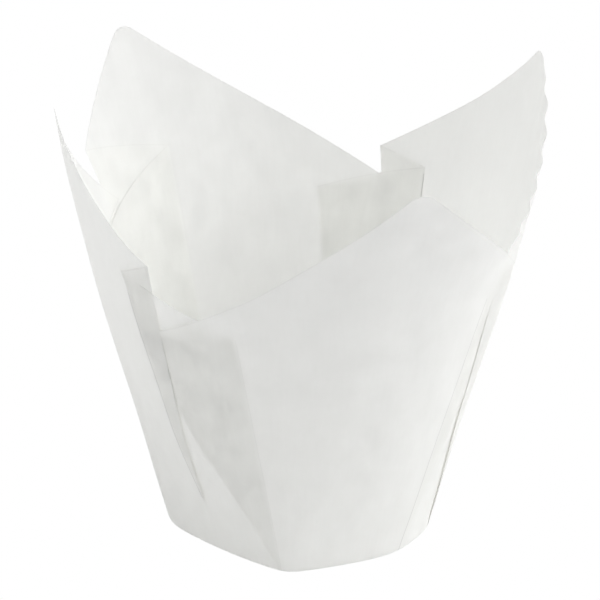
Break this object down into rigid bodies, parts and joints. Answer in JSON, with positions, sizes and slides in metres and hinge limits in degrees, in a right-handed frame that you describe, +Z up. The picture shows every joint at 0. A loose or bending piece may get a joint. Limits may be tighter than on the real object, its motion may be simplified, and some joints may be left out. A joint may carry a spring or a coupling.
{
  "type": "tulip baking cup",
  "caption": "Paper baking cup folded from one square sheet: flat base, flared wall and pointed petals, with inverted box pleats between them.",
  "frame": {"origin": "centre of the round base, on its underside", "axes": "+Z up out of the cup's mouth, -Y towards the side that shows the open pleat"},
  "size_m": [0.0861, 0.0857, 0.0864],
  "materials": {
    "greaseproof_paper": "matt white greaseproof baking paper with a faint vertical fibre grain, slightly see-through"
  },
  "bodies": {
    "root": {"folded_sheet": "greaseproof_paper"}
  },
  "joints": []
}
